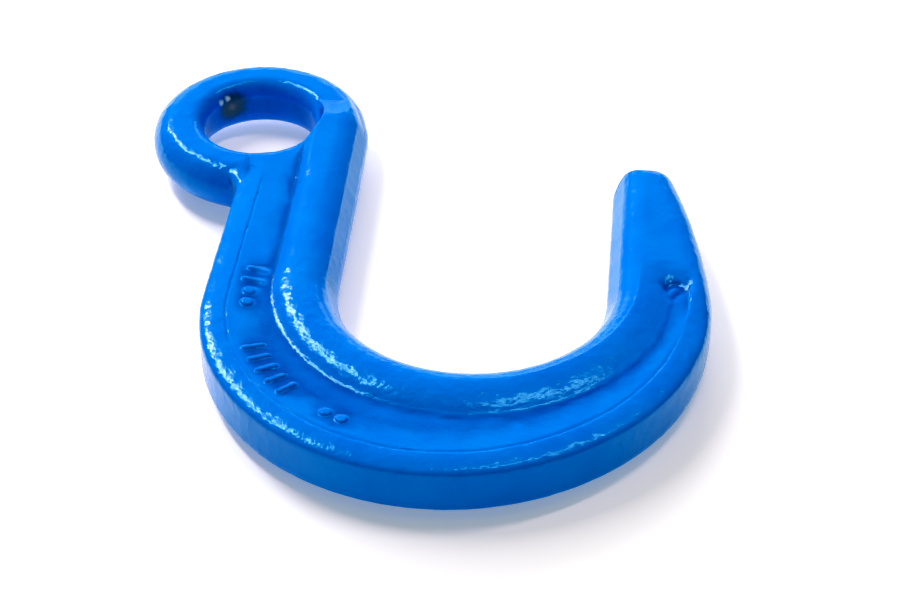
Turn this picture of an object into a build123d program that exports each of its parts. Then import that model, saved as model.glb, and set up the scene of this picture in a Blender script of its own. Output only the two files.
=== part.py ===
from build123d import *
import os

# A one-piece forged eye hook with a wide open throat. All sizes are in millimetres.
# Origin: centre of the eye at mid-thickness. +Z runs along the axis of the eye, +Y along the shank
# from the bowl to the eye, and +X from the shank across the throat to the tip.
# Across any section, "width" is counted outwards from the throat face, which lies at width 0.

# Eye
eye_bore_radius = 17.0
eye_ring_width = 15.6  # radial width of the ring
eye_lip_radius = 4.9  # rounding from the bore to the face of the ring

# Throat, bowl and back
bowl_radius = 37.7  # half of the throat opening
bowl_drop = 75.3  # eye centre to bowl centre, along Y
throat_step = 0.8  # the throat face of the shank stands this far outside the ring
shank_width = 36.6  # at the widest, where the shank meets the bowl
shank_taper = 1.6  # lean of the back of the shank towards the eye, in degrees
back_margin = 30.6  # radius of the outer arc on the shank side, beyond that of the bowl
back_drop = 12.6  # centre of that arc, below the bowl centre
side_margin = 38.8  # the same for the flatter outer arc on the tip side
side_start = 65.0  # where it starts, in degrees below +X

# Tip
tip_length = 58.2  # bowl centre to the end of the tip
tip_end_width = 16.3
tip_blend_angle = 6.5  # where the outer arc hands over to the back of the tip, above +X
tip_nose_radius = 7.7  # corners of the tip, seen along Z
tip_edge_radius = 7.0  # rounding between the faces of the tip and its back

# Section of the forging
web_half = 7.8  # half thickness of the web and of the eye ring
bead_half = 10.2  # half thickness of the bead along the throat, and of the tip
parting_radius = 5.0  # rounding of the throat face at mid-thickness
draft_angle = 29.0  # lean of the throat face
draft_length = 5.0  # sloping length of the flat part of that face
bead_crown_start = 10.0  # width where the flat top of the bead starts
bead_shoulder = 15.4  # width of its outer corner
bead_foot = 18.1  # width where its outer slope meets the web
bead_shoulder_radius = 3.5
bead_foot_radius = 1.8
bead_swell = 2.6  # the bead is this much wider at the bottom of the bowl

# Rim along the back
rim_width = 7.1
rim_edge_half = 6.2  # half height of the outer wall
rim_crown_width = 2.6  # steeper strip at the outer edge of the rim
rim_crown_drop = 0.55
rim_edge_radius = 0.8
groove_width = 1.1
groove_depth = 0.35
rim_end_angle = 8.0  # where the wall starts to turn in under the tip, in degrees below +X
rim_end_radius = 48.0
rim_end_sweep = 28.0
neck_radius = 8.0  # inside corner between the back of the shank and the eye
neck_sink = 3.0  # the corner runs this deep into the rounded outside of the ring
crest_margin = 1.5  # the web overlaps the flat crest of the ring by this much

# Run-out of the bead on the eye
runout_start = (24.0, -0.3)  # point on the line where the bead starts to fall
runout_heading = 36.0  # direction of that line
runout_slope = 14.0
runout_turn_y = -3.0  # where the bead leaves the straight line of the shank and follows the ring
runout_sweep = 55.0
bead_bore_clearance = 2.5  # the bead stands back this far from the bore

# Run-up from the rim to the tip, and the end of the web recess
ramp_top = 9.0  # height above the bowl centre where the ramp reaches the faces of the tip
ramp_slope = 4.8
ramp_reach = 34.0  # start of the tip body on the outer arc, below +X, in degrees
pocket_end = 7.5  # height above the bowl centre where the recess ends
pocket_corner_radius = 2.4

# Raised marks in the web: plain bars and dots in three groups, placed by angle about the back centre
mark_height = 0.5
mark_stroke = 1.4
mark_length = 6.2
mark_dot_radius = 1.6
mark_edge_radius = 0.35
mark_inset = 6.0  # from the groove to the middle of the marks
mark_pitch = 5.2  # degrees between neighbours
bar_starts = {168.0: 2, 204.0: 5}  # first angle and number of bars
dot_starts = {178.4: 2, 240.0: 2}  # first angle and number of dots

# Derived places
eye_ring_radius = eye_bore_radius + eye_ring_width
throat_x = eye_ring_radius + throat_step
bowl_x = throat_x + bowl_radius
bowl_y = -bowl_drop
bowl_centre = Vector(bowl_x, bowl_y)
back_radius = bowl_radius + back_margin
side_radius = bowl_radius + side_margin
tip_throat_x = bowl_x + bowl_radius
tip_top = bowl_y + tip_length
tip_corner = Vector(tip_throat_x + tip_end_width, tip_top)
back_centre = Vector(throat_x - shank_width + back_radius, bowl_y - back_drop)
side_centre = back_centre - Vector(side_radius - back_radius, 0).rotate(Axis.Z, -side_start)
shank_up = Vector(0, 1).rotate(Axis.Z, -shank_taper)
shank_right = shank_up.rotate(Axis.Z, -90)
crest_radius = eye_ring_radius - web_half - crest_margin  # circle on the flat crest of the ring

# Centre of the neck arc: beside the back of the shank, and just far enough from the eye to sink in
neck_reach = eye_ring_radius - neck_sink + neck_radius
back_top = back_centre - (back_radius + neck_radius) * shank_right
neck_rise = -back_top.dot(shank_up)
neck_rise -= (neck_rise**2 - back_top.dot(back_top) + neck_reach**2) ** 0.5
neck_centre = back_top + neck_rise * shank_up
neck_sweep = shank_right.get_angle(neck_centre * -1)
bead_middle = (bead_crown_start + bead_shoulder) / 2
bead_flat_end = bead_shoulder - bead_shoulder_radius / 2  # safely on the flat top, short of the shoulder
hidden_radius = bowl_radius + bead_middle  # inner edge of the web, out of sight inside the bead
beyond = 2 * side_radius  # longer than any feature

bowl_axis = Axis((bowl_x, bowl_y, 0), (0, 0, 1))
swell_axis = Axis((bowl_x, bowl_y - bead_swell, 0), (0, 0, 1))
runout_axis = Axis((0, runout_turn_y, 0), (0, 0, 1))
shank_plane = Plane(origin=(throat_x, bowl_y, 0), x_dir=(-1, 0, 0), z_dir=(0, 1, 0))
runout_section_plane = Plane(origin=(throat_x, runout_turn_y, 0), x_dir=(-1, 0, 0), z_dir=(0, 1, 0))
tip_plane = Plane(origin=(tip_throat_x, bowl_y, 0), x_dir=(1, 0, 0), z_dir=(0, 1, 0))
runout_plane = Plane((*runout_start, bead_half)).rotated((0, 0, runout_heading))
runout_plane = runout_plane.rotated((-runout_slope, 0, 0))
ramp_plane = Plane((bowl_x, bowl_y + ramp_top, bead_half)).rotated((ramp_slope, 0, 0))


def edges_along(shape, curve, height):
    """Edges of a shape that lie over a curve of the plan at a height."""
    middle = curve @ 0.5
    point = Vector(middle.X, middle.Y, height)
    return shape.edges().filter_by(lambda edge: edge.distance_to(point) < 0.01)


def throat_section(plane, crown_end):
    """Throat half of the bead's section: rounded nose, leaning face and flat top up to a width."""
    with BuildSketch(plane) as section:
        with BuildLine():
            nose = JernArc((0, 0), (0, 1), parting_radius, -draft_angle)
            flank = PolarLine(nose @ 1, draft_length, 90 - draft_angle)
            crown = (bead_crown_start, bead_half)
            TangentArc(crown, flank @ 1, tangent=(-1, 0))
            Polyline(crown, (crown_end, bead_half), (crown_end, 0))
            mirror(about=Plane.XZ)
        make_face()
    return section.sketch


def shoulder_section(plane):
    """Outer half of the bead's section: flat top, rounded shoulder and slope down to the web."""
    buried = bead_foot + bead_foot_radius
    with BuildSketch(plane) as section:
        with BuildLine():
            top = [(bead_crown_start, bead_half), (bead_shoulder, bead_half)]
            bottom = [(bead_foot, web_half), (buried, web_half)]
            FilletPolyline(*top, *bottom, radius=[bead_shoulder_radius, bead_foot_radius])
            Line((bead_crown_start, 0), top[0])
            Line(bottom[1], (buried, 0))
            mirror(about=Plane.XZ)
        make_face()
    return section.sketch


def cut_both_sides(cut):
    """Cut a shape away on the upper side and its mirror image on the lower side."""
    add([cut, mirror(cut, Plane.XY, mode=Mode.PRIVATE)], mode=Mode.SUBTRACT)


# The eye: a ring with rounded outside, flat crest and rounded lips
with BuildPart() as eye_ring:
    with BuildSketch(Plane.XZ) as ring_section:
        with BuildLine():
            lip_end = (eye_bore_radius, web_half - eye_lip_radius)
            crest_in = (eye_bore_radius + eye_lip_radius, web_half)
            crest_out = (eye_ring_radius - web_half, web_half)
            Line((eye_bore_radius, 0), lip_end)
            TangentArc(lip_end, crest_in, tangent=(0, 1))
            Line(crest_in, crest_out)
            TangentArc(crest_out, (eye_ring_radius, 0), tangent=(1, 0))
            mirror(about=Plane.XZ)
        make_face()
    revolve(axis=Axis.Z)

# The web and rim: one plate under the bead, from the eye round to the foot of the tip
with BuildPart() as web_plate:
    with BuildSketch():
        with BuildLine():
            back_sweep = 180 + shank_taper - side_start
            back_arc = CenterArc(back_centre, back_radius, 180 - shank_taper, back_sweep)
            side_arc = CenterArc(side_centre, side_radius, -side_start, side_start - rim_end_angle)
            run_in = JernArc(side_arc @ 1, side_arc % 1, rim_end_radius, rim_end_sweep)
            neck_start = neck_centre + neck_radius * shank_right
            Line(back_arc @ 0, neck_start)
            neck_arc = JernArc(neck_start, shank_up, neck_radius, neck_sweep)
            hidden_arc = CenterArc(bowl_centre, hidden_radius, 180, 180)
            Line(run_in @ 1, hidden_arc @ 1)
            Polyline(hidden_arc @ 0, (throat_x - bead_middle, 0), (0, 0), neck_arc @ 1)
        make_face()
        Circle(crest_radius, mode=Mode.SUBTRACT)
    extrude(amount=web_half, both=True)
    # The rim falls to the outer wall in two slopes, each measured on the face above it
    rim_slope_drop = web_half - rim_edge_half - rim_crown_drop
    for side in (1, -1):
        face = web_plate.faces().sort_by(Axis.Z)[-1 if side > 0 else 0]
        edge = edges_along(face, back_arc, side * web_half)
        chamfer(edge, rim_width, rim_slope_drop, reference=face)
    for side in (1, -1):
        edge = edges_along(web_plate, back_arc, side * (web_half - rim_slope_drop))
        slopes = web_plate.faces().filter_by(lambda face: edge[0] in face.edges())
        face = slopes.sort_by(lambda face: abs(face.center().Z))[-1]
        chamfer(edge, rim_crown_width, rim_crown_drop, reference=face)
    for side in (1, -1):
        fillet(edges_along(web_plate, back_arc, side * rim_edge_half), rim_edge_radius)
    # A fine groove marks the inner edge of the rim
    with BuildSketch(Plane.XY.offset(web_half - groove_depth)) as groove:
        with BuildLine():
            groove_arc = CenterArc(back_centre, back_radius - rim_width, 180 - shank_taper, back_sweep)
            CenterArc(side_centre, side_radius - rim_width, -side_start, side_start)
            groove_turn = neck_centre + (neck_radius + rim_width) * shank_right
            Line(groove_arc @ 0, groove_turn)
            JernArc(groove_turn, shank_up, neck_radius + rim_width, neck_sweep)
        trace(line_width=groove_width)
    cut_both_sides(extrude(amount=2 * groove_depth, mode=Mode.PRIVATE))

# The bead: from the foot of the tip round the bowl, up the shank and onto the eye, where it runs out.
# Its throat half follows the bowl, and its outer half swings about a lower centre.
with BuildPart() as throat_bead:
    tip_reach = pocket_end + bead_foot_radius
    shank_reach = bowl_drop + runout_turn_y
    extrude(throat_section(tip_plane, bead_flat_end), amount=tip_reach)
    revolve(throat_section(shank_plane, bead_flat_end), axis=bowl_axis, revolution_arc=180)
    extrude(throat_section(shank_plane, bead_flat_end), amount=shank_reach)
    inner_end = throat_section(runout_section_plane, bead_flat_end)
    revolve(inner_end, axis=runout_axis, revolution_arc=runout_sweep)
    extrude(shoulder_section(tip_plane.offset(-bead_swell)), amount=tip_reach + bead_swell)
    revolve(shoulder_section(shank_plane.offset(-bead_swell)), axis=swell_axis, revolution_arc=180)
    extrude(shoulder_section(shank_plane.offset(-bead_swell)), amount=shank_reach + bead_swell)
    outer_end = shoulder_section(runout_section_plane)
    revolve(outer_end, axis=runout_axis, revolution_arc=runout_sweep)
    with BuildSketch(runout_plane):
        Rectangle(beyond, beyond, align=(Align.CENTER, Align.MIN))
    cut_both_sides(extrude(amount=bead_half, mode=Mode.PRIVATE))
    Cylinder(eye_bore_radius + bead_bore_clearance, 3 * bead_half, mode=Mode.SUBTRACT)

# The tip: a full-thickness body that the rim climbs onto, with the end of the web recess cut in it
with BuildPart() as tip_body:
    with BuildSketch() as tip_outline:
        with BuildLine():
            foot_arc = CenterArc(side_centre, side_radius, -ramp_reach, ramp_reach + tip_blend_angle)
            TangentArc(foot_arc @ 1, tip_corner, tangent=foot_arc % 1)
            hidden_arc = CenterArc(bowl_centre, hidden_radius, -ramp_reach, ramp_reach)
            Polyline(tip_corner, (tip_throat_x, tip_top), (tip_throat_x, bowl_y), hidden_arc @ 1)
            Line(hidden_arc @ 0, foot_arc @ 0)
        make_face()
        fillet(tip_outline.vertices().group_by(Axis.Y)[-1], tip_nose_radius)
    extrude(amount=bead_half, both=True)
    for side in (1, -1):
        fillet(edges_along(tip_body, foot_arc, side * bead_half), tip_edge_radius)
    extrude(throat_section(tip_plane, beyond), amount=beyond, both=True, mode=Mode.INTERSECT)
    with BuildSketch(ramp_plane):
        Rectangle(beyond, beyond, align=(Align.CENTER, Align.MAX))
    cut_both_sides(extrude(amount=bead_half, mode=Mode.PRIVATE))
    with BuildSketch(Plane.XY.offset(web_half)) as recess:
        with BuildLine():
            recess_radius = side_radius - rim_width + groove_width / 2
            recess_arc = CenterArc(side_centre, recess_radius, -side_start, side_start)
            recess_top = bowl_y + pocket_end
            hidden_arc = CenterArc(bowl_centre, hidden_radius, -side_start, side_start)
            outer_corner = ((recess_arc @ 1).X, recess_top)
            inner_corner = ((hidden_arc @ 1).X, recess_top)
            Polyline(recess_arc @ 1, outer_corner, inner_corner, hidden_arc @ 1)
            Line(hidden_arc @ 0, recess_arc @ 0)
        make_face()
        fillet(recess.vertices().group_by(Axis.Y)[-1].sort_by(Axis.X)[-1], pocket_corner_radius)
    cut_both_sides(extrude(amount=bead_half, mode=Mode.PRIVATE))

# Raised marks on the upper face of the web
with BuildPart() as marks:
    mark_circle = back_radius - rim_width - mark_inset
    with BuildSketch(Plane.XY.offset(web_half)):
        for start, count in bar_starts.items():
            with Locations(back_centre):
                with PolarLocations(mark_circle, count, start, mark_pitch * count):
                    SlotOverall(mark_length, mark_stroke)
        for start, count in dot_starts.items():
            with Locations(back_centre):
                with PolarLocations(mark_circle, count, start, mark_pitch * count):
                    Circle(mark_dot_radius)
    extrude(amount=mark_height)
    fillet(marks.faces().group_by(Axis.Z)[-1].edges(), mark_edge_radius)

# The forging
with BuildPart() as forged_hook:
    add(web_plate.part)
    add(eye_ring.part)
    add(tip_body.part)
    add(throat_bead.part)
    add(marks.part)

forged_hook.part.label = "forged_hook"
os.makedirs("parts", exist_ok=True)
export_step(forged_hook.part, "parts/forged_hook.step")
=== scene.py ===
import math

import bmesh
import bpy
import numpy as np
from mathutils import Matrix, Vector, noise


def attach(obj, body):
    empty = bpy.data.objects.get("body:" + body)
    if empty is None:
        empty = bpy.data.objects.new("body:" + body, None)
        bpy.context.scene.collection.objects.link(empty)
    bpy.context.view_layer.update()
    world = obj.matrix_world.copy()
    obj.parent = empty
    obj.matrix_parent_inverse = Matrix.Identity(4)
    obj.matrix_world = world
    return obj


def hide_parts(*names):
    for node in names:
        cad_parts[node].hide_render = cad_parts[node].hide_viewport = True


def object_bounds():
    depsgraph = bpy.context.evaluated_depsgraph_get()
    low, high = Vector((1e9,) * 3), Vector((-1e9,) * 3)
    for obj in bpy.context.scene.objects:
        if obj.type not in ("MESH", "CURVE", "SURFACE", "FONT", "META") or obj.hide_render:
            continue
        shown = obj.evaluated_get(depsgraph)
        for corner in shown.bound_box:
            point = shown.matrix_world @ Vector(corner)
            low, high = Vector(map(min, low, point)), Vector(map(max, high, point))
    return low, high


# A drop-forged eye hook in thick gloss blue enamel, lying on its side on a pale floor.
# Everything is in metres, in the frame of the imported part: the eye is at the origin, the shank runs
# down to the bowl along -Y, and the tip is across the throat, on the +X side.

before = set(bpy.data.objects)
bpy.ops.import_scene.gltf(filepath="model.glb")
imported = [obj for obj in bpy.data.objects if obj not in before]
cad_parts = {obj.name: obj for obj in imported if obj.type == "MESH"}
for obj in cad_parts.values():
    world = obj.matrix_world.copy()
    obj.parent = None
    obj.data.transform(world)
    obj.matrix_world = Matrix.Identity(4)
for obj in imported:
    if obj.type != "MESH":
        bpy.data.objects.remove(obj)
cad_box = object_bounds()
scene = bpy.context.scene

MM = 0.001
SKIN_STEP = 0.36 * MM  # spacing of the skin's points before it is thinned
SKIN_TRIANGLES = 190000
FLOOR_Z = cad_box[0].z
CENTRE = Vector((53, -62, 0)) * MM  # middle of the hook, which the lights face

# The outline from above
BOWL = Vector((71.1, -75.3, 0)) * MM
BOWL_RADIUS = 37.7 * MM
BACK = Vector((65.1, -87.9, 0)) * MM  # centre of the arc round the back and the bottom
BACK_RADIUS = 68.3 * MM
SIDE = Vector((61.63, -80.47, 0)) * MM  # centre of the flatter arc up to the tip
SIDE_RADIUS = 76.5 * MM
SIDE_BEARINGS = (-65, 60)  # degrees about BACK between which the flatter arc is the outline
SHANK_LEAN = math.tan(math.radians(1.6))  # slope of the back of the shank
SHANK_REACH = 30 * MM  # the shank lies further than this from BACK towards -X

# Widths outwards from the throat face or inwards from the outline, and heights above mid-thickness
BEAD_CREST = 10.0 * MM  # width of the bead's flat crest
TIP_CREST_CUT = 1.5 * MM  # the crest is this much narrower on the side of the tip
BEAD_FOOT = 18.1 * MM
BEAD_SWELL = 2.6 * MM  # the bead is this much wider at the bottom of the bowl
BEAD_HEIGHT = 10.2 * MM
BEAD_FULLNESS = 2.3  # power of the bead's slope: the higher, the longer it stays full
TIP_FULLNESS_CUT = 0.6  # the slope is this much straighter on the side of the tip
WEB_HEIGHT = 7.8 * MM
WEB_SINK = 0.8 * MM  # how deep the web dips beside the bead
WEB_FALL = 10 * MM  # the dip reaches its full depth this far in from the rim
RIM_WIDTH = 7.1 * MM
RIM_EDGE_HEIGHT = 6.2 * MM
RIM_TOP = 0.86  # share of the rim's width that rolls, from the groove out to its rounded edge
TIP_HEIGHT = 9.8 * MM  # of the ground that closes the recess below the tip
SMOOTH_THROAT = 9 * MM  # the throat face is smoother than the rest up to this width
MARK_GAIN = 0.5  # the raised marks stand prouder by this share
MARK_INSET = 8.6 * MM  # the marks lie further in than this from the outline
MARK_CLEARANCE = 1.5 * MM  # and further out than this from the foot of the bead
MARK_SKIN = 0.05 * MM  # what stands higher than this over the web is a mark

# Below these heights are walls, which keep their shape
WEB_FLOOR = 7 * MM
RIM_FLOOR = 5.6 * MM
RECESS_FLOOR = 6 * MM

# Strips that are rounded or softened, as the widths or insets between which each lies
CLIMB_BAND = (-6 * MM, 6.6 * MM)
FOOT_BAND = (BEAD_FOOT - 2.2 * MM, BEAD_FOOT + 2.2 * MM)
WIDE_FOOT_BAND = (BEAD_FOOT - 2.5 * MM, BEAD_FOOT + 5 * MM)
RIM_EDGE_BAND = (-0.5 * MM, 2 * MM)

# Where the worn shapes fade: the value at which each starts, and the length over which it grows
BELOW_EYE = (16 * MM, 18 * MM)  # distance below the eye
BEFORE_TIP = (-9 * MM, 9 * MM)  # distance below the centre of the bowl
RIM_BEFORE_TIP = (4 * MM, 14 * MM)
TOWARDS_TIP = (-15 * MM, 40 * MM)  # distance from the centre of the bowl towards the tip

# Spots that are shaped one by one, each with its centre and its reach
TIP_FOOT = BOWL + Vector((56.2, -0.2, 8.0)) * MM
POCKET = (TIP_FOOT, 6.0 * MM)  # the small dented pocket at the foot of the tip
POCKET_END = (TIP_FOOT + Vector((1, 6, 0)) * MM, 9 * MM)
RECESS_END = (BOWL + Vector((57.5, 7.0, 9.0)) * MM, 6 * MM)
RIM_CLIMB = (TIP_FOOT + Vector((9, -16, -2)) * MM, 30 * MM)  # where the rim climbs onto the tip
TIP_SHOULDER = (TIP_FOOT + Vector((8, 15, 0)) * MM, 24 * MM)
TIP_FACE = (TIP_FOOT + Vector((2, 26, 0)) * MM, 34 * MM)
NECK = (Vector((-1.0, -33.0, 0)) * MM, 11 * MM)  # inside corner between the shank and the ring
FACET = (Vector((27, 8, 9)) * MM, 18 * MM)  # where the bead runs out on the eye

# Lumps of the as-forged surface, as pitch and height in millimetres
LUMPS = ((13.0, 0.08), (5.0, 0.045), (2.2, 0.018))
EDGE_LUMPS = ((4.0, 0.05), (1.9, 0.035))  # more of them, on corners and in hollows only
POCKET_LUMPS = (2.6, 0.75)
POCKET_DEPTH = 0.35 * MM

# Heights off the smoothed surface that count as fully an edge, fully proud and fully sunk
EDGE_STEP = 0.10 * MM
PROUD_STEP = 0.12 * MM / 1.5
SUNK_STEP = 0.2 * MM


def linear(code):
    """sRGB hex to linear RGBA."""
    channels = [int(code[i:i + 2], 16) / 255 for i in (1, 3, 5)]
    return [c / 12.92 if c <= 0.04045 else ((c + 0.055) / 1.055) ** 2.4 for c in channels] + [1.0]


# ---------------------------------------------------------------- tools for the skin


def merged_copy(node, name):
    """A new object with a CAD node's mesh, its loose triangles joined into one closed skin."""
    form = bmesh.new()
    form.from_mesh(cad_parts[node].data)
    bmesh.ops.remove_doubles(form, verts=form.verts, dist=0.001 * MM)
    mesh = bpy.data.meshes.new(name)
    form.to_mesh(mesh)
    form.free()
    piece = bpy.data.objects.new(name, mesh)
    scene.collection.objects.link(piece)
    return piece


def bake_modifier(piece, kind, **settings):
    """Adds a modifier, applies it and leaves its result as the piece's mesh."""
    modifier = piece.modifiers.new(kind.title(), kind)
    for key, value in settings.items():
        setattr(modifier, key, value)
    depsgraph = bpy.context.evaluated_depsgraph_get()
    result = bpy.data.meshes.new_from_object(piece.evaluated_get(depsgraph))
    piece.modifiers.clear()
    old = piece.data
    result.name = piece.name
    piece.data = result
    bpy.data.meshes.remove(old)


def points_of(mesh):
    """The mesh's points and normals as arrays."""
    places = np.empty(len(mesh.vertices) * 3, np.float32)
    normals = np.empty(len(mesh.vertices) * 3, np.float32)
    mesh.vertices.foreach_get("co", places)
    mesh.vertex_normals.foreach_get("vector", normals)
    return places.reshape(-1, 3).astype(float), normals.reshape(-1, 3).astype(float)


def put_points(mesh, places):
    """Moves the mesh's points to new places."""
    mesh.vertices.foreach_set("co", places.astype(np.float32).ravel())
    mesh.update()


def relaxed(mesh, places, passes, weight=1.0):
    """Points moved towards the mean of their neighbours, pass after pass, by a weight for each."""
    pairs = np.empty(len(mesh.edges) * 2, np.int32)
    mesh.edges.foreach_get("vertices", pairs)
    pairs = pairs.reshape(-1, 2)
    count = len(places)
    valence = np.bincount(pairs.ravel(), minlength=count)[:, None]
    weight = np.broadcast_to(np.asarray(weight, float).reshape(-1, 1), (count, 1))
    for _ in range(passes):
        mean = np.empty_like(places)
        for axis in range(3):
            mean[:, axis] = np.bincount(pairs[:, 0], places[pairs[:, 1], axis], count)
            mean[:, axis] += np.bincount(pairs[:, 1], places[pairs[:, 0], axis], count)
        places = places + 0.5 * weight * (mean / valence - places)
    return places


def height_off(places, smoothed, normals):
    """How far each point stands off a smoothed surface, along its normal."""
    return np.einsum("ij,ij->i", places - smoothed, normals)


def lumps(places, pitch, seed):
    """Smooth noise from -1 to 1 with lumps about one pitch apart."""
    shift = Vector((seed * 17.3, seed * 5.1, seed * 9.7))
    scaled = places / pitch
    return np.array([noise.noise(Vector(p) + shift) for p in scaled])


def rising(value, start, length):
    """0 up to a start, then rising evenly to 1 over a length."""
    return np.clip((value - start) / length, 0, 1)


def band(value, low, high):
    """0 outside a range and 1 in its middle half, rising and falling evenly."""
    share = np.clip(1 - np.abs(2 * value - low - high) / (high - low), 0, 1)
    return np.clip(2 * share, 0, 1)


def near(places, centre, reach):
    """1 at a centre, falling smoothly to 0 at its reach."""
    share = np.linalg.norm(places - np.array(centre), axis=1) / reach
    share = np.clip(1 - share, 0, 1)
    return share * share * (3 - 2 * share)


def inset(places):
    """How far each point lies inside the outer outline, from the back of the shank round to the tip."""
    from_back = places[:, :2] - np.array(BACK[:2])
    from_side = places[:, :2] - np.array(SIDE[:2])
    bearing = np.degrees(np.arctan2(from_back[:, 1], from_back[:, 0]))
    beside_tip = (bearing > SIDE_BEARINGS[0]) & (bearing < SIDE_BEARINGS[1])
    inside = BACK_RADIUS - np.hypot(*from_back.T)
    inside = np.where(beside_tip, SIDE_RADIUS - np.hypot(*from_side.T), inside)
    shank = (places[:, 1] > BACK.y) & (places[:, 0] < BACK.x - SHANK_REACH)
    beside = places[:, 0] - (BACK.x - BACK_RADIUS) - SHANK_LEAN * (places[:, 1] - BACK.y)
    return np.where(shank, beside, inside)


# ---------------------------------------------------------------- the forging

hook = merged_copy("forged_hook", "painted_forging")
bake_modifier(hook, "REMESH", mode="VOXEL", voxel_size=SKIN_STEP)
skin = hook.data
places, normals = points_of(skin)
places = relaxed(skin, places, 3)

# How far each point lies outwards from the throat face, as it is and as if the bead had not swelled
across = places[:, 0] - BOWL.x
below = places[:, 1] - BOWL.y
width = np.where(below < 0, np.hypot(across, below), np.abs(across)) - BOWL_RADIUS
swung = np.where(below < -BEAD_SWELL, np.hypot(across, below + BEAD_SWELL), np.abs(across)) - BOWL_RADIUS
inside = inset(places)
up = places[:, 2]
below_eye = rising(-places[:, 1], *BELOW_EYE)
before_tip = np.where(across > 0, rising(-below, *BEFORE_TIP), 1)

# The raised marks stand a little prouder under their coat of enamel
marked = (inside > MARK_INSET) & (swung > BEAD_FOOT + MARK_CLEARANCE) & (across < 0)
marked &= np.abs(up) > WEB_HEIGHT + MARK_SKIN
up = np.where(marked, up + np.sign(up) * MARK_GAIN * (np.abs(up) - WEB_HEIGHT), up)

# Forging dies wear: the bead rolls from its crest down to its foot in one soft curve, straighter and
# from a clearer crest on the side of the tip, and the web dips a little towards the bead
tip_side = rising(across, *TOWARDS_TIP)
crest = BEAD_CREST - TIP_CREST_CUT * tip_side
slope = rising(width, crest, BEAD_FOOT - crest + width - swung)
rolled = BEAD_HEIGHT - (BEAD_HEIGHT - WEB_HEIGHT) * slope ** (BEAD_FULLNESS - TIP_FULLNESS_CUT * tip_side)
bead = np.where((slope > 0) & (slope < 1), below_eye * before_tip, 0)
up = up + bead * (np.sign(up) * rolled - up)
sink = slope ** 1.5 * rising(inside, RIM_WIDTH, WEB_FALL) * below_eye * before_tip
up = up - np.sign(up) * (np.abs(up) > WEB_FLOOR) * sink * WEB_SINK

# The rim rolls from the groove out to the wall
slope = np.clip(1 - inside / RIM_WIDTH, 0, 1)
rolled = WEB_HEIGHT - (WEB_HEIGHT - RIM_EDGE_HEIGHT) * slope ** 2
rim = np.where((slope > 0) & (slope < RIM_TOP) & (np.abs(up) > RIM_FLOOR), below_eye, 0)
rim *= np.where(across > 0, rising(-below, *RIM_BEFORE_TIP), 1)
up = up + rim * (np.sign(up) * rolled - up)

# The recess in the web closes below the tip
fill = np.clip(1.8 * near(places, *RECESS_END), 0, 1) * (np.abs(up) > RECESS_FLOOR)
up = up + fill * np.sign(up) * np.clip(TIP_HEIGHT - np.abs(up), 0, None)
places[:, 2] = up

# The run-up to the tip, the neck and the end of the recess are rounder than the rest
run_up = near(places, *RIM_CLIMB) * band(inside, *CLIMB_BAND)
run_up = np.maximum(run_up, near(places, *TIP_SHOULDER))
rounded = np.maximum(run_up, 0.4 * near(places, *NECK))
places = relaxed(skin, places, 90, np.clip(1.8 * rounded, 0, 1))
pocket = near(places, *POCKET)
places = relaxed(skin, places, 60, near(places, *POCKET_END))

# The foot of the bead and the edge of the rim are softened last
foot = band(swung, *FOOT_BAND) * below_eye
wide_foot = band(swung, *WIDE_FOOT_BAND) * below_eye
edge_of_rim = band(inside, *RIM_EDGE_BAND) * below_eye
places = relaxed(skin, places, 30, wide_foot)
places = relaxed(skin, places, 14, np.maximum(foot, edge_of_rim))
put_points(skin, places)
places, normals = points_of(skin)

# How much each point stands off the shape around it: 0 on flat faces, 1 along corners and hollows.
# The tip, the run-out on the eye and the throat face came out of the dies smoother.
edge = np.clip(np.abs(height_off(places, relaxed(skin, places, 80), normals)) / EDGE_STEP, 0, 1)
edge *= 1 - 0.8 * near(places, *TIP_FACE)
edge *= 1 - 0.9 * near(places, *FACET)
edge *= np.clip(width / SMOOTH_THROAT, 0.35, 1)
rough = np.clip(edge + 0.5 * foot, 0, 1)

# The unevenness of the forging, rougher along the edges and dented in the pocket
depth = 0
for seed, (pitch, height) in enumerate(LUMPS, 1):
    depth = depth + height * MM * lumps(places, pitch * MM, seed)
for seed, (pitch, height) in enumerate(EDGE_LUMPS, 1 + len(LUMPS)):
    depth = depth + rough * height * MM * lumps(places, pitch * MM, seed)
pitch, height = POCKET_LUMPS
dents = lumps(places, pitch * MM, 1 + len(LUMPS) + len(EDGE_LUMPS))
depth = depth - pocket * (POCKET_DEPTH + height * MM * dents)
put_points(skin, places + normals * depth[:, None])

bake_modifier(hook, "DECIMATE", ratio=SKIN_TRIANGLES / (2 * len(skin.polygons)))
skin = hook.data
skin.polygons.foreach_set("use_smooth", [True] * len(skin.polygons))

# The enamel reads from the skin where it lies sunk, for painted shade in its hollows, and where it is lumpy
places, normals = points_of(skin)
calm = relaxed(skin, places, 4)
proud = height_off(calm, relaxed(skin, calm, 20), normals) / PROUD_STEP
sunk = -height_off(calm, relaxed(skin, calm, 60), normals) / SUNK_STEP
for name, values in (("sunk", sunk), ("lumpy", np.abs(proud))):
    layer = skin.attributes.new(name, "FLOAT", "POINT")
    layer.data.foreach_set("value", np.clip(values, 0, 1).astype(np.float32))
skin.update()
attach(hook, "root")
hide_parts("forged_hook")


# ---------------------------------------------------------------- materials

# The colour sockets of a Mix node, which share their names with others
UNDER, OVER, MIXED = 6, 7, 2

# Painted shade: this darker blue is mixed in where the skin lies sunk, in the hollows
ENAMEL_BLUES = ("#006ad9", "#0073df")
HOLLOW_SHADE_BLUE = "#003f9e"
REFLECTION_TINT = "#89d3ff"
CLOUD_SIZE = 14.286 * MM  # of the faint changes of shade
RIPPLE_SIZE = 2.381 * MM
RIPPLE_HEIGHT = 0.16 * MM
PEEL_SIZE = 0.9091 * MM
PEEL_HEIGHT = 0.04 * MM
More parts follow.
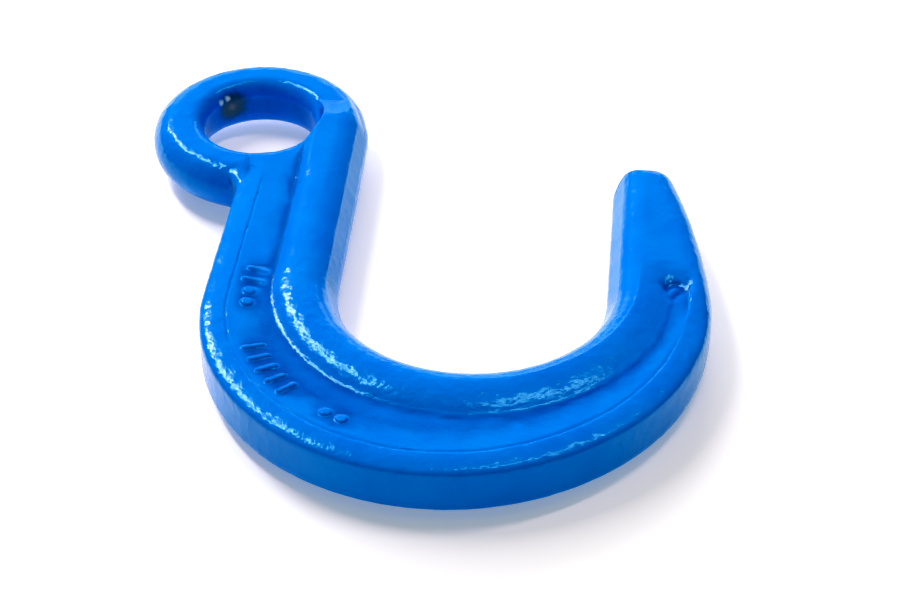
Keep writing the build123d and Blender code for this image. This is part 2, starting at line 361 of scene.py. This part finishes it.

# Where it hung in the paint line there is a bare spot in the eye: smoke-dark and scorched enamel round
# # bare steel. Two white spots on the lip beside it are painted highlights. Each layer has its colour,
# centre,
# # radius, how ragged its edge is and how softly it ends, the last three in millimetres.
HANG_MARK = Vector((-10.7, 13.2, 1.5)) * MM
HANG_MARK_AND_HIGHLIGHT_LAYERS = (
    ("#0a3a78", HANG_MARK, 6.6, 4.0, 3.6),
    ("#5c4848", HANG_MARK, 5.2, 3.0, 2.2),
    ("#9a6c58", HANG_MARK, 1.7, 3.0, 1.6),
    # Painted highlights on the lip of the eye, white spots in the place of a reflection
    ("#eceeea", Vector((-12.0, 12.5, 4.6)) * MM, 1.3, 1.6, 0.9),
    ("#eceeea", Vector((-13.6, 10.5, 4.2)) * MM, 1.3, 1.6, 0.9),
)


def add_node(tree, kind, settings=None, values=None, links=None):
    """Adds a node with its settings, and gives its sockets, by name or number, their values and links."""
    node = tree.nodes.new(kind)
    for name, setting in (settings or {}).items():
        setattr(node, name, setting)
    for socket, value in (values or {}).items():
        node.inputs[socket].default_value = value
    for socket, source in (links or {}).items():
        tree.links.new(source, node.inputs[socket])
    return node


def new_material(name):
    """A material and its empty node tree."""
    material = bpy.data.materials.new(name)
    material.use_nodes = True
    material.node_tree.nodes.clear()
    return material, material.node_tree


def stoving_enamel():
    """Stoving enamel over an as-forged surface: deep even blue under a wet gloss with a slow orange-peel
    ripple. Its hollows are painted darker, as shade, and it swells into small beads where the forging is
    lumpy."""
    material, tree = new_material("gloss_blue_stoving_enamel")
    place = add_node(tree, "ShaderNodeTexCoord").outputs["Object"]

    # The blue, cloudy, with painted shade darker in the hollows
    cloud = add_node(
        tree, "ShaderNodeTexNoise", values={"Scale": 1 / CLOUD_SIZE, "Detail": 4.0}, links={"Vector": place},
    )
    tint = add_node(tree, "ShaderNodeValToRGB", links={"Fac": cloud.outputs["Fac"]})
    for stop, position, blue in zip(tint.color_ramp.elements, (0.32, 0.68), ENAMEL_BLUES):
        stop.position = position
        stop.color = linear(blue)
    sunk = add_node(tree, "ShaderNodeAttribute", {"attribute_name": "sunk"})
    hollow = add_node(
        tree, "ShaderNodeMapRange", values={"From Min": 0.08, "From Max": 1.0, "To Min": 0.0, "To Max": 0.85},
        links={"Value": sunk.outputs["Fac"]},
    )
    # Painted shade in the hollows, over the enamel's own blue
    shaded_hollows = add_node(
        tree, "ShaderNodeMix", {"data_type": "RGBA"}, {OVER: linear(HOLLOW_SHADE_BLUE)},
        {"Factor": hollow.outputs["Result"], UNDER: tint.outputs["Color"]},
    )

    # The ripple, higher where the forging is lumpy, and a finer peel on it
    ripple = add_node(
        tree, "ShaderNodeTexNoise", values={"Scale": 1 / RIPPLE_SIZE, "Detail": 1.0}, links={"Vector": place},
    )
    peel = add_node(
        tree, "ShaderNodeTexNoise", values={"Scale": 1 / PEEL_SIZE, "Detail": 1.0}, links={"Vector": place},
    )
    lumpy = add_node(tree, "ShaderNodeAttribute", {"attribute_name": "lumpy"})
    swell = add_node(
        tree, "ShaderNodeMapRange", values={"To Min": 0.35, "To Max": 1.2},
        links={"Value": lumpy.outputs["Fac"]},
    )
    swollen = add_node(
        tree, "ShaderNodeMath", {"operation": "MULTIPLY"},
        links={0: ripple.outputs["Fac"], 1: swell.outputs["Result"]},
    )
    slow = add_node(
        tree, "ShaderNodeBump", values={"Strength": 1.0, "Distance": RIPPLE_HEIGHT},
        links={"Height": swollen.outputs["Value"]},
    )
    fine = add_node(
        tree, "ShaderNodeBump", values={"Strength": 1.0, "Distance": PEEL_HEIGHT},
        links={"Height": peel.outputs["Fac"], "Normal": slow.outputs["Normal"]},
    )

    # The hanging mark and the painted highlights on the lip, layer over layer, their edges frayed by the
    # ripple
    colour = shaded_hollows.outputs[MIXED]
    for code, centre, radius, ragged, soft in HANG_MARK_AND_HIGHLIGHT_LAYERS:
        edge = (radius + 0.5 * ragged) * MM
        away = add_node(
            tree, "ShaderNodeVectorMath", {"operation": "DISTANCE"}, {1: centre}, {0: place},
        )
        frayed = add_node(
            tree, "ShaderNodeMath", {"operation": "MULTIPLY_ADD"}, {1: ragged * MM},
            {0: ripple.outputs["Fac"], 2: away.outputs["Value"]},
        )
        patch = add_node(
            tree, "ShaderNodeMapRange", values={"From Min": edge, "From Max": edge - soft * MM},
            links={"Value": frayed.outputs["Value"]},
        )
        layer = add_node(
            tree, "ShaderNodeMix", {"data_type": "RGBA"}, {OVER: linear(code)},
            {"Factor": patch.outputs["Result"], UNDER: colour},
        )
        colour = layer.outputs[MIXED]

    paint = add_node(
        tree, "ShaderNodeBsdfPrincipled",
        values={"Roughness": 0.17, "IOR": 1.5, "Specular IOR Level": 0.38,
                "Specular Tint": linear(REFLECTION_TINT)},
        links={"Base Color": colour, "Normal": fine.outputs["Normal"]},
    )
    add_node(tree, "ShaderNodeOutputMaterial", links={"Surface": paint.outputs["BSDF"]})
    return material


def opal_acrylic():
    """Opal white acrylic of a light table, matt on top and lit a little from below."""
    material, tree = new_material("matt_opal_acrylic")
    sheet = add_node(
        tree, "ShaderNodeBsdfPrincipled",
        values={"Base Color": linear("#fbf9fb"), "Roughness": 0.9, "Emission Color": linear("#fff7ee"),
                "Emission Strength": 0.27},
    )
    add_node(tree, "ShaderNodeOutputMaterial", links={"Surface": sheet.outputs["BSDF"]})
    return material


hook.data.materials.clear()
hook.data.materials.append(stoving_enamel())


# ---------------------------------------------------------------- the floor, lights and camera

form = bmesh.new()
bmesh.ops.create_grid(form, x_segments=1, y_segments=1, size=4.0)
bmesh.ops.translate(form, verts=form.verts, vec=(0, 0, FLOOR_Z))
floor_mesh = bpy.data.meshes.new("floor")
form.to_mesh(floor_mesh)
form.free()
floor_mesh.materials.append(opal_acrylic())
floor = bpy.data.objects.new("floor", floor_mesh)
scene.collection.objects.link(floor)


def softbox(name, place, along, width, length, power):
    """A rectangular studio light that faces the hook, its length lying as near as it can to a direction."""
    light = bpy.data.lights.new(name, "AREA")
    light.shape = "RECTANGLE"
    light.size = width
    light.size_y = length
    light.energy = power
    lamp = bpy.data.objects.new(name, light)
    back = (Vector(place) - CENTRE).normalized()
    across = Vector(along).cross(back).normalized()
    turn = Matrix((across, back.cross(across), back)).transposed()
    lamp.matrix_world = Matrix.Translation(place) @ turn.to_4x4()
    scene.collection.objects.link(lamp)
    return lamp


# Two narrow strips make the streaks on the bead and the rim, and a card and a wide wash fill in behind
softbox(
    "strip_left", CENTRE + 1.5 * Vector((-0.50, 0.45, 0.74)), (0.24, -0.6, 0.5),
    width=0.15, length=1.1, power=17.0,
)
softbox(
    "strip_right", CENTRE + 1.6 * Vector((0.24, 0.20, 0.95)), (-0.45, -0.3, 0.18),
    width=0.07, length=0.8, power=5.5,
)
softbox(
    "card_back", CENTRE + Vector((-0.15, 1.7, 0.42)), (1, 0, 0),
    width=0.28, length=1.4, power=2.2,
)
wash = softbox(
    "wash_back", CENTRE + 2.6 * Vector((-0.30, 0.84, 0.42)), (1, 0, 0),
    width=1.2, length=2.2, power=66.0,
)
wash.visible_glossy = False  # it lights the paint and the floor, but doesn't mirror in the flat faces

# The studio is bright overhead and dim at the height that the flat faces mirror
world = bpy.data.worlds.new("studio")
world.use_nodes = True
scene.world = world
tree = world.node_tree
direction = add_node(tree, "ShaderNodeTexCoord")
height = add_node(tree, "ShaderNodeSeparateXYZ", links={"Vector": direction.outputs["Generated"]})
glow = add_node(
    tree, "ShaderNodeMapRange", values={"From Min": 0.6, "From Max": 1.0, "To Min": 0.1, "To Max": 0.34},
    links={"Value": height.outputs["Z"]},
)
backdrop = tree.nodes["Background"]
backdrop.inputs["Color"].default_value = linear("#ffffff")
tree.links.new(glow.outputs["Result"], backdrop.inputs["Strength"])

CAMERA_PLACE = Vector((112.13, -626.73, 433.66)) * MM
CAMERA_AIM = Vector((64.91, -75.93, 0)) * MM
CAMERA_ROLL = math.radians(0.16)
lens = bpy.data.cameras.new("camera")
lens.lens = 100
lens.sensor_width = 36
camera = bpy.data.objects.new("camera", lens)
turn = (CAMERA_AIM - CAMERA_PLACE).to_track_quat("-Z", "Y").to_matrix().to_4x4()
camera.matrix_world = Matrix.Translation(CAMERA_PLACE) @ turn @ Matrix.Rotation(CAMERA_ROLL, 4, "Z")
scene.collection.objects.link(camera)
scene.camera = camera
scene.view_settings.view_transform = "Standard"

# Tone curves of the view alone, not of the paint: they take red out of all but bright reflections,
# and a little green out of the darker tones, so the blue looks purer than the enamel's own colour
RED_TONES = ((0.03, 0.001), (0.12, 0.055), (0.3, 0.23), (0.6, 0.59))
GREEN_TONES = ((0.05, 0.035), (0.12, 0.105), (0.3, 0.3), (0.6, 0.6))
scene.view_settings.use_curve_mapping = True
tones = scene.view_settings.curve_mapping
for curve, points in zip(tones.curves, (RED_TONES, GREEN_TONES)):
    for before, after in points:
        curve.points.new(before, after)
tones.update()
